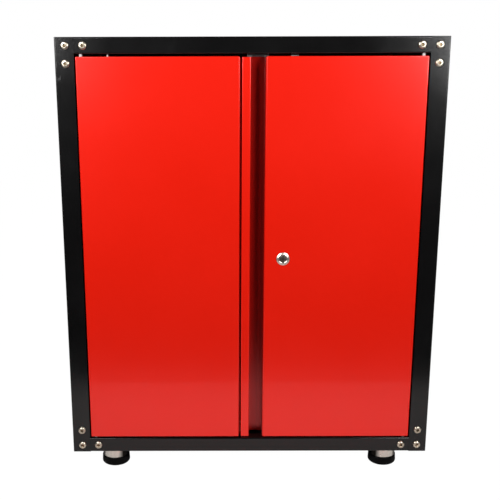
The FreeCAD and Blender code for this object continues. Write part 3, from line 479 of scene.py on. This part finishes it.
def placed(form, spots, axes, turns=0.0):
    # for each spot: (point turned about the form's z) @ axes + spot
    points, quads, fans = form
    spots = np.atleast_2d(np.asarray(spots, float))
    count = len(spots)
    turns = np.broadcast_to(turns, (count,))[:, None]
    x, y, z = points.T
    copies = np.stack([np.cos(turns) * x - np.sin(turns) * y, np.sin(turns) * x + np.cos(turns) * y,
                       z + 0 * turns], axis=2) @ axes + spots[:, None, :]
    shift = (np.arange(count) * len(points))[:, None, None]
    return copies.reshape(-1, 3), (quads + shift).reshape(-1, 4), (fans + shift).reshape(-1, 3)


def makePiece(name, forms, node, body, sharpAngle=32, added=False):
    # one object from all its forms: it stands for a node of the frame, or is added beside it
    starts = np.cumsum([0] + [len(form[0]) for form in forms])
    faces = []
    for form, start in zip(forms, starts):
        faces += (form[1] + start).tolist() + (form[2] + start).tolist()
    mesh = bpy.data.meshes.new(name)
    mesh.from_pydata(np.concatenate([form[0] for form in forms]).tolist(), [], faces)
    mesh.polygons.foreach_set("use_smooth", np.ones(len(faces), bool))
    mesh.set_sharp_from_angle(angle=math.radians(sharpAngle))
    mesh.materials.append(slotFinish[nodeSlot[node]])
    piece = bpy.data.objects.new(name, mesh)
    scene.collection.objects.link(piece)
    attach(piece, body)
    if not added:
        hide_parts(node)


boltLook = {
    "headHeight": 0.0044, "domeRadius": 0.0034, "rimHeight": 0.0004,
    "socketFlats": 0.0025, "socketDepth": 0.0026, "socketChamfer": 0.0006,
    "shankRadius": 0.004, "shankLength": 0.012, "threadPitch": 0.00125, "threadCut": 0.0006,
    "threadLength": 0.0035, "endChamfer": 0.0007, "turnStep": 2.4,
}
frameNutLook = {
    "flats": 0.0065, "height": 0.0065, "bore": 0.00405, "seat": 0.0035,
    "faceInset": 0.0003, "chamferSlope": 1.73, "boreChamfer": 0.0005,
}


def buttonBolt(look, head):
    # a domed head of the given radius with a hexagon socket, on a shank threaded at its end
    top, dome, flats = look["headHeight"], look["domeRadius"], look["socketFlats"]
    floor, tip = top - look["socketDepth"], -look["shankLength"]
    shank, rim = look["shankRadius"], look["rimHeight"]
    mouth = flats / hexShare + look["socketChamfer"] / 2
    return turnedForm([
        row(floor, 0), row(floor, flats / 2), row(floor, unbounded, flats),
        row(top - look["socketChamfer"], unbounded, flats), row(top, mouth),
        arc(top - dome, head - dome, dome, 90, 0, count=9), row(rim, head), row(0, head - rim / 2),
        row(0, shank), row(tip + look["threadLength"], shank),
        threadRows(tip + look["threadLength"] - sliver, tip + look["endChamfer"], shank,
                   look["threadPitch"], look["threadCut"]),
        row(tip, shank - look["endChamfer"]), row(tip, 0),
    ], around=48, pitch=look["threadPitch"])


def hexNut(look, around=48):
    # the chamfer is where a cone of the given slope cuts the six flats
    flats, top, bore, edge = look["flats"], look["height"], look["bore"], look["boreChamfer"]
    face = flats - look["faceInset"]
    drop = (flats / hexShare - face) / look["chamferSlope"]
    steps = drop * np.linspace(0, 1, 5)[1:]
    down = [row(top - step, face + step * look["chamferSlope"], flats) for step in steps]
    up = [row(step, face + step * look["chamferSlope"], flats) for step in steps[::-1]]
    return turnedForm([row(top, bore + edge), row(top, face), *down, *up, row(0, face),
                       row(0, bore + edge), row(edge, bore), row(top - edge, bore)], around)


def boltSpots(layout, depth):
    # one corner's three bolts mirrored into all four corners, at the given place along y
    middle, corner = boltCorner(layout)
    x, z = corner.T
    return np.concatenate([np.stack([side * x, np.full_like(x, depth), middle + level * z], axis=1)
                           for side in (-1, 1) for level in (-1, 1)])


def makeFrameFasteners(layout, look, nutLook):
    face = span("rear_left_post")[1][1]
    front, rear = boltSpots(layout, -face), boltSpots(layout, face)
    turns = np.arange(len(front)) * look["turnStep"]
    bolt, nut = buttonBolt(look, layout["headRadius"]), hexNut(nutLook)
    makePiece("frame_bolt_set", [placed(bolt, front, facingFront, turns),
                                 placed(bolt, rear, facingRear, turns)],
              "frame_bolts", "cabinet")
    seat = face - nutLook["seat"]
    makePiece("frame_nut_set", [placed(nut, boltSpots(layout, -seat), facingRear),
                                placed(nut, boltSpots(layout, seat), facingFront)],
              "frame_nuts", "cabinet")


makeFrameFasteners(boltLayout, boltLook, frameNutLook)
print("frame bolts and nuts made")


panelScrewLook = {
    "headRadius": 0.0045, "headHeight": 0.0026, "headDome": 0.00156, "recessDepth": 0.0014,
    "recessHalf": 0.0006, "recessRatio": 4.4, "shankRadius": 0.0024, "threadPitch": 0.0016,
    "threadCut": 0.0005, "tipLength": 0.003, "perSide": 4, "turnStep": 1.7,
}
catchScrewLook = {
    "headRadius": 0.0035, "headHeight": 0.0022, "headDome": 0.00132, "recessDepth": 0.0012,
    "recessHalf": 0.0005, "recessRatio": 4.2, "shankRadius": 0.002, "threadPitch": 0.0014,
    "threadCut": 0.0004, "tipLength": 0.002, "spread": 0.029, "turnStep": 0.7,
}
camScrewLook = {
    "headRadius": 0.005, "headHeight": 0.003, "headDome": 0.0015, "recessDepth": 0.0015,
    "recessHalf": 0.0006, "recessRatio": 4.4, "shankRadius": 0.0025, "threadPitch": 0.0008,
    "threadCut": 0.0004, "tipLength": 0.0008, "turn": 0.5,
}
screwShape = {
    "recessMouth": 1.06,                            # times the recess's reach
    "threadStart": 0.0004,                          # metres below the head
    "taperLength": 0.4, "taperRadius": 0.55,        # shares of the tip's length and the shank's radius
    "pointRadius": 0.1,
}


def panScrew(look, length, shape=screwShape):
    # a pan head with a cross recess, on a threaded shank with a tapered tip
    top, dome, half = look["headHeight"], look["headDome"], look["recessHalf"]
    head, shank, floor = look["headRadius"], look["shankRadius"], top - look["recessDepth"]
    tip = look["tipLength"]
    return turnedForm([
        row(floor, 0), row(floor, half / 2), row(floor, unbounded, half),
        row(top - sliver, unbounded, half), row(top, half * look["recessRatio"] * shape["recessMouth"]),
        arc(top - dome, head - dome, dome, 90, 0, count=6),
        row(sliver, head), row(0, head - sliver), row(0, shank),
        threadRows(-shape["threadStart"], tip - length, shank, look["threadPitch"], look["threadCut"]),
        row(shape["taperLength"] * tip - length, shape["taperRadius"] * shank),
        row(-length, shape["pointRadius"] * shank), row(-length, 0),
    ], around=40, reach=crossReach(look["recessRatio"]), pitch=look["threadPitch"])


def makePanelScrews(look):
    low, high = span("panel_screws")
    face = span("rear_left_post")[1][1]
    heights = np.linspace(low[2] + look["headRadius"], high[2] - look["headRadius"], look["perSide"])
    line = high[0] - look["headRadius"]
    spots = [(side * line, face, height) for side in (-1, 1) for height in heights]
    turns = np.arange(len(spots)) * look["turnStep"]
    screw = panScrew(look, face - low[1])
    makePiece("panel_screw_set", [placed(screw, spots, facingRear, turns)], "panel_screws", "cabinet")


def makeCatchScrews(look):
    depth = middleOf("catch_screws")[1]
    under, over = span("upper_catch_body")[0][2], span("lower_catch_body")[1][2]
    screw = panScrew(look, span("catch_screws")[1][2] - under)
    offsets = np.array([-1, 1]) * look["spread"] / 2
    turns = np.arange(2) * look["turnStep"]
    makePiece("catch_screw_set", [
        placed(screw, [(middleOf("upper_catch_body")[0] + offset, depth, under) for offset in offsets],
               facingDown, turns),
        placed(screw, [(middleOf("lower_catch_body")[0] + offset, depth, over) for offset in offsets],
               facingUp, turns),
    ], "catch_screws", "cabinet")


def makeCamScrew(look):
    low, high = span("cam_screw")
    x, y, z = middleOf("cam_screw")
    seat = high[1] - look["headHeight"]
    screw = panScrew(look, seat - low[1])
    makePiece("cam_screw_cross", [placed(screw, (x, seat, z), facingRear, look["turn"])],
              "cam_screw", "lock_core")


pinLook = {
    "headRadius": 0.004, "headHeight": 0.002, "headDome": 0.0011, "radius": 0.002, "length": 0.0165,
    "tip": 0.0006,
}
bushLook = {
    "flangeRadius": 0.0030, "tubeRadius": 0.0028, "bore": 0.00205, "tubeLength": 0.006, "edge": 0.0003,
}


def makeHingePins(look):
    top, dome, radius, head = look["headHeight"], look["headDome"], look["radius"], look["headRadius"]
    length, tip = look["length"], look["tip"]
    pin = turnedForm([
        row(top, 0), row(top, (head - dome) / 2), arc(top - dome, head - dome, dome, 90, 0),
        row(sliver, head), row(0, head - sliver), row(0, radius), row(tip - length, radius),
        row(-length, radius - tip), row(-length, 0),
    ], around=36)
    low, high = span("hinge_pins")
    line, depth = high[0] - head, middleOf("hinge_pins")[1]
    makePiece("hinge_pin_set", [
        placed(pin, [(-line, depth, high[2] - top), (line, depth, high[2] - top)], facingUp),
        placed(pin, [(-line, depth, low[2] + top), (line, depth, low[2] + top)], facingDown),
    ], "hinge_pins", "cabinet")


def bushForm(look, flange):
    # a tube below the seat and a rounded flange above it
    edge, outer, tube, bore = look["edge"], look["flangeRadius"], look["tubeRadius"], look["bore"]
    length = look["tubeLength"]
    return turnedForm([
        row(flange, bore + edge), arc(flange - edge, outer - edge, edge, 90, 0, count=4),
        arc(edge, outer - edge, edge, 0, -90, count=4), row(0, tube), row(edge - length, tube),
        row(-length, tube - edge), row(-length, bore + edge), row(edge - length, bore),
        row(flange - edge, bore),
    ], around=32)


def makeBushes(look):
    for side in ("left", "right"):
        node = f"{side}_door_bushes"
        low, high = span(node)
        bottom, top = span(f"{side}_door_skin")
        x, y, _ = middleOf(node)
        makePiece(f"{side}_door_bush_pair", [
            placed(bushForm(look, high[2] - top[2]), (x, y, top[2]), facingUp),
            placed(bushForm(look, bottom[2] - low[2]), (x, y, bottom[2]), facingDown),
        ], node, f"{side}_door")


beadLook = {"radius": 0.0014, "depth": 0.0085, "sunk": 0.0002, "endGap": 0.003, "edge": 0.0004}


def makeEdgeBead(look):
    # a rolled bead down the left door's free edge, in the gap beside the pull
    low, high = span("left_door_skin")
    radius, edge, end = look["radius"], look["edge"], look["endGap"]
    length = high[2] - low[2] - 2 * end
    form = turnedForm([row(length, 0), row(length, radius - edge), row(length - edge, radius),
                       row(edge, radius), row(0, radius - edge), row(0, 0)], around=24)
    spot = (high[0] + radius - look["sunk"], low[1] + look["depth"], low[2] + end)
    makePiece("left_door_edge_bead", [placed(form, spot, facingUp)],
              "left_door_skin", "left_door", added=True)


makePanelScrews(panelScrewLook)
makeCatchScrews(catchScrewLook)
makeCamScrew(camScrewLook)
makeHingePins(pinLook)
makeBushes(bushLook)
makeEdgeBead(beadLook)
print("screws, pins, bushes and bead made")


bezelLook = {
    "proud": 0.003, "radius": 0.01275, "crest": 0.0088, "crestRadius": 0.0016, "rimRadius": 0.0009,
    "slopeFoot": 0.0013, "barrelRadius": 0.0095, "bore": 0.00655, "mouth": 0.0003,
    "mouthShare": 0.7,                  # of the crest's radius, from its top down to the bore's edge
    "threadPitch": 0.001, "threadCut": 0.0004, "threadStart": 0.0003, "threadEnd": 0.0008,
    "endChamfer": 0.0006,
}
plugLook = {
    "radius": 0.0065, "bossRadius": 0.0046, "bossHeight": 0.0003, "grooveWidth": 0.0006,
    "grooveDepth": 0.0004, "keyHalf": 0.0009, "keyRatio": 4.4, "keyMouth": 1.03, "keyDepth": 0.004,
    "edge": 0.0003,
    "tailRadius": 0.004, "tailLength": 0.002, "screwBore": 0.00255, "screwDepth": 0.008,
}
lockNutLook = {
    "flats": 0.012, "height": 0.004, "bore": 0.00955, "faceInset": 0.0004, "chamferSlope": 1.73,
    "boreChamfer": 0.0005,
}


def makeBarrel(look):
    # a rounded crest, a cone down to a rolled rim, and a threaded barrel behind
    low, high = span("lock_barrel")
    x, _, z = middleOf("lock_barrel")
    face = low[1] + look["proud"]
    back = face - high[1]
    top, crest, rim = look["proud"], look["crestRadius"], look["rimRadius"]
    bore, barrel, mouth = look["bore"], look["barrelRadius"], look["mouth"]
    form = turnedForm([
        row(top - look["mouthShare"] * crest, bore + mouth),
        arc(top - crest, look["crest"], crest, 135, 60, count=9),
        arc(look["slopeFoot"] - rim, look["radius"] - rim, rim, 60, 0, count=6),
        row(0, look["radius"]), row(0, barrel),
        threadRows(-look["threadStart"], back + look["threadEnd"], barrel,
                   look["threadPitch"], look["threadCut"]),
        row(back, barrel - look["endChamfer"]), row(back, bore + mouth), row(back + mouth, bore),
        row(top - crest, bore),
    ], around=96, pitch=look["threadPitch"])
    makePiece("lock_bezel", [placed(form, (x, face, z), facingFront)], "lock_barrel", "right_door")


def makePlug(look):
    # a raised boss with the keyhole, a groove round it, and a hole for the cam's screw behind
    low, high = span("lock_plug")
    x, _, z = middleOf("lock_plug")
    face, key, boss, edge = look["bossHeight"], look["keyHalf"], look["bossRadius"], look["edge"]
    groove, bore = look["grooveDepth"], look["screwBore"]
    end, floor = face - (high[1] - low[1]), face - look["keyDepth"]
    shoulder, hole = end + look["tailLength"], end + look["screwDepth"]
    outer = boss + look["grooveWidth"]
    form = turnedForm([
        row(floor, 0), row(floor, key / 2), row(floor, unbounded, key), row(face - sliver, unbounded, key),
        row(face, key * look["keyRatio"] * look["keyMouth"]), row(face, boss - edge),
        row(face - edge, boss), row(-groove, boss + edge / 2), row(-groove, outer),
        row(0, outer + groove / 2), row(0, look["radius"] - edge), row(-edge, look["radius"]),
        row(shoulder, look["radius"]), row(shoulder, look["tailRadius"]), row(end, look["tailRadius"]),
        row(end, bore), row(hole, bore), row(hole, 0),
    ], around=96, reach=slotReach(look["keyRatio"]))
    makePiece("lock_keyway", [placed(form, (x, low[1] + face, z), facingFront)], "lock_plug", "lock_core")


def makeLockNut(look):
    x, _, z = middleOf("lock_nut")
    makePiece("lock_ring_nut", [placed(hexNut(look, 72), (x, span("lock_nut")[0][1], z), facingRear)],
              "lock_nut", "right_door")


makeBarrel(bezelLook)
makePlug(plugLook)
makeLockNut(lockNutLook)
print("lock made")


bootLook = {
    "height": 0.017, "topRounding": 0.0016, "footRounding": 0.0042, "draft": 0.0006,
    "lipWidth": 0.0018, "dish": 0.0010, "socketFloor": 0.005, "socketRadius": 0.00505,
    "treadDepth": 0.0008, "treadShares": (0.78, 0.62, 0.40, 0.24),
}
sleeveLook = {"wall": 0.0012, "bore": 0.00525, "rounding": 0.0010}
studLook = {
    "radius": 0.005, "collarFlats": 0.0085, "collarLow": 0.012, "collarHeight": 0.005, "chamfer": 0.0004,
    "threadPitch": 0.0015, "threadCut": 0.0008, "threadStart": 0.0004, "tip": 0.0009,
}
footNutLook = {
    "flats": 0.0085, "height": 0.008, "bore": 0.00505, "faceInset": 0.0004, "chamferSlope": 1.73,
    "boreChamfer": 0.0006,
}


def bootForm(look, radius):
    # a dished top inside a lip, a side that widens downwards, and grooves in the sole
    top, lip, sole, deep = look["height"], look["topRounding"], look["footRounding"], look["treadDepth"]
    edge = radius - look["draft"] - lip
    inside = edge - look["lipWidth"]
    tread = []
    for outer, inner in np.reshape(look["treadShares"], (-1, 2)) * radius:
        tread += [row(0, outer), row(deep, outer - deep), row(deep, inner + deep), row(0, inner)]
    return turnedForm([
        row(look["socketFloor"], 0), row(look["socketFloor"], look["socketRadius"]),
        row(top - look["dish"], look["socketRadius"]), row(top - look["dish"], inside - look["dish"]),
        row(top, inside), arc(top - lip, edge, lip, 90, 0, count=6),
        arc(sole, radius - sole, sole, 0, -90, count=9), *tread, row(0, 0),
    ], around=72)


def sleeveForm(look, radius, height):
    # a drawn cup, open below: a rounded top edge, and a lower rim rolled over the wall
    edge, wall, bore = look["rounding"], look["wall"], look["bore"]
    return turnedForm([
        row(height, bore), arc(height - edge, radius - edge, edge, 90, 0, count=5),
        arc(wall / 2, radius - wall / 2, wall / 2, 0, -180),
        row(height - wall, radius - wall), row(height - wall, bore),
    ], around=80)


def studForm(look, length):
    # a threaded rod with a hexagon collar to turn it by
    radius, tip, low = look["radius"], look["tip"], look["collarLow"]
    high = low + look["collarHeight"]
    flats, edge = look["collarFlats"], look["chamfer"]
    return turnedForm([
        row(length, 0), row(length, radius - tip),
        threadRows(length - tip, high + look["threadStart"], radius, look["threadPitch"], look["threadCut"]),
        row(high, radius), row(high, flats - edge / 2), row(high - edge, unbounded, flats),
        row(low + edge, unbounded, flats), row(low, flats - edge / 2), row(low, radius),
        row(0, radius), row(0, 0),
    ], around=48, pitch=look["threadPitch"])


def makeFeet():
    spots = []
    for foot in [f"{end}_{side}_foot" for end in ("front", "rear") for side in ("left", "right")]:
        low, high = span(f"{foot}_boot")
        x, y, _ = middleOf(f"{foot}_boot")
        spots.append((x, y, span("foot_nuts")[0][2]))
        boot = bootForm(bootLook, high[0] - x)
        makePiece(f"{foot}_boot_moulded", [placed(boot, (x, y, low[2]), facingUp)], f"{foot}_boot", foot)
        low, high = span(f"{foot}_sleeve")
        sleeve = sleeveForm(sleeveLook, high[0] - x, high[2] - low[2])
        makePiece(f"{foot}_sleeve_drawn", [placed(sleeve, (x, y, low[2]), facingUp)],
                  f"{foot}_sleeve", "cabinet")
        low, high = span(f"{foot}_stud")
        stud = studForm(studLook, high[2] - low[2])
        makePiece(f"{foot}_stud_threaded", [placed(stud, (x, y, low[2]), facingUp)], f"{foot}_stud", foot)
    makePiece("foot_nut_set", [placed(hexNut(footNutLook), spots, facingUp)], "foot_nuts", "cabinet")


makeFeet()
print("feet made")


stageSetup = {
    "floorFront": -0.667, "floorBack": 3.2, "floorHalf": 2.8,       # metres
    "floorColour": colour(0.74, 0.73, 0.72), "mirroredFloor": colour(0.54, 0.53, 0.52),
    "floorGlow": 1.03, "glowShare": 0.97,
    "backdrop": 1.0, "mirroredLevel": 0.02, "fillLevel": 0.0,       # strengths of the world
}


white = colour(1, 1, 1)


def makeFloor(setup):
    # glows where the camera sees it, and is matt for the light that it throws back
    half, front, back = setup["floorHalf"], setup["floorFront"], setup["floorBack"]
    corners = [(-half, front, 0), (half, front, 0), (half, back, 0), (-half, back, 0)]
    mesh = bpy.data.meshes.new("floor")
    mesh.from_pydata(corners, [], [(0, 1, 2, 3)])
    floor = bpy.data.objects.new("floor", mesh)
    scene.collection.objects.link(floor)
    shader = Shader("floor_white")
    seen = shader.node("ShaderNodeLightPath", output="Is Camera Ray")
    mirrored = shader.node("ShaderNodeLightPath", output="Is Glossy Ray")
    tone = shader.blend(mirrored, setup["floorColour"], setup["mirroredFloor"])
    matt = shader.node("ShaderNodeBsdfDiffuse", inputs={"Color": tone})
    glow = shader.node("ShaderNodeEmission", inputs={"Color": white, "Strength": setup["floorGlow"]})
    mixed = shader.node("ShaderNodeMixShader", inputs={0: seen * setup["glowShare"], 1: matt, 2: glow})
    mesh.materials.append(shader.surface(mixed))


def makeWorld(setup):
    # white behind the object, nearly black where paint and metal mirror it, and no fill light
    world = bpy.data.worlds.new("studio")
    scene.world = world
    world.use_nodes = True
    tree = world.node_tree
    tree.nodes.clear()
    path = tree.nodes.new("ShaderNodeLightPath")

    def background(level):
        made = tree.nodes.new("ShaderNodeBackground")
        made.inputs["Color"].default_value = white
        made.inputs["Strength"].default_value = level
        return made.outputs[0]

    def choose(ray, otherwise, chosen):
        made = tree.nodes.new("ShaderNodeMixShader")
        for socket, source in zip(made.inputs, (path.outputs[ray], otherwise, chosen)):
            tree.links.new(source, socket)
        return made.outputs[0]

    fill = choose("Is Glossy Ray", background(setup["fillLevel"]), background(setup["mirroredLevel"]))
    seen = choose("Is Camera Ray", fill, background(setup["backdrop"]))
    out = tree.nodes.new("ShaderNodeOutputWorld")
    tree.links.new(seen, out.inputs["Surface"])


frontAim, rearAim = (0.0, -0.25, 0.62), (0, 0.2, 0.4)
lampSetup = {
    "upper_left": {"place": (-0.735, -1.03, 1.12), "aim": frontAim, "size": (0.42, 0.70), "power": 17.9},
    "upper_right": {"place": (0.755, -1.03, 1.07), "aim": frontAim, "size": (0.42, 0.74), "power": 16.2},
    "rear_left": {"place": (-1.3, 2.0, 1.9), "aim": rearAim, "size": (1.2, 1.2), "power": 6},
    "rear_right": {"place": (1.5, 1.8, 1.6), "aim": rearAim, "size": (1.0, 1.0), "power": 5},
}


def makeLamp(name, setup):
    data = bpy.data.lights.new(name, "AREA")
    data.shape = "RECTANGLE"
    data.size, data.size_y = setup["size"]
    data.energy = setup["power"]
    lamp = bpy.data.objects.new(name, data)
    lamp.location = setup["place"]
    ray = Vector(setup["aim"]) - Vector(setup["place"])
    lamp.rotation_euler = ray.to_track_quat("-Z", "Y").to_euler()
    scene.collection.objects.link(lamp)


makeFloor(stageSetup)
makeWorld(stageSetup)
for lampName, lampValues in lampSetup.items():
    makeLamp(lampName, lampValues)
print("stage set")
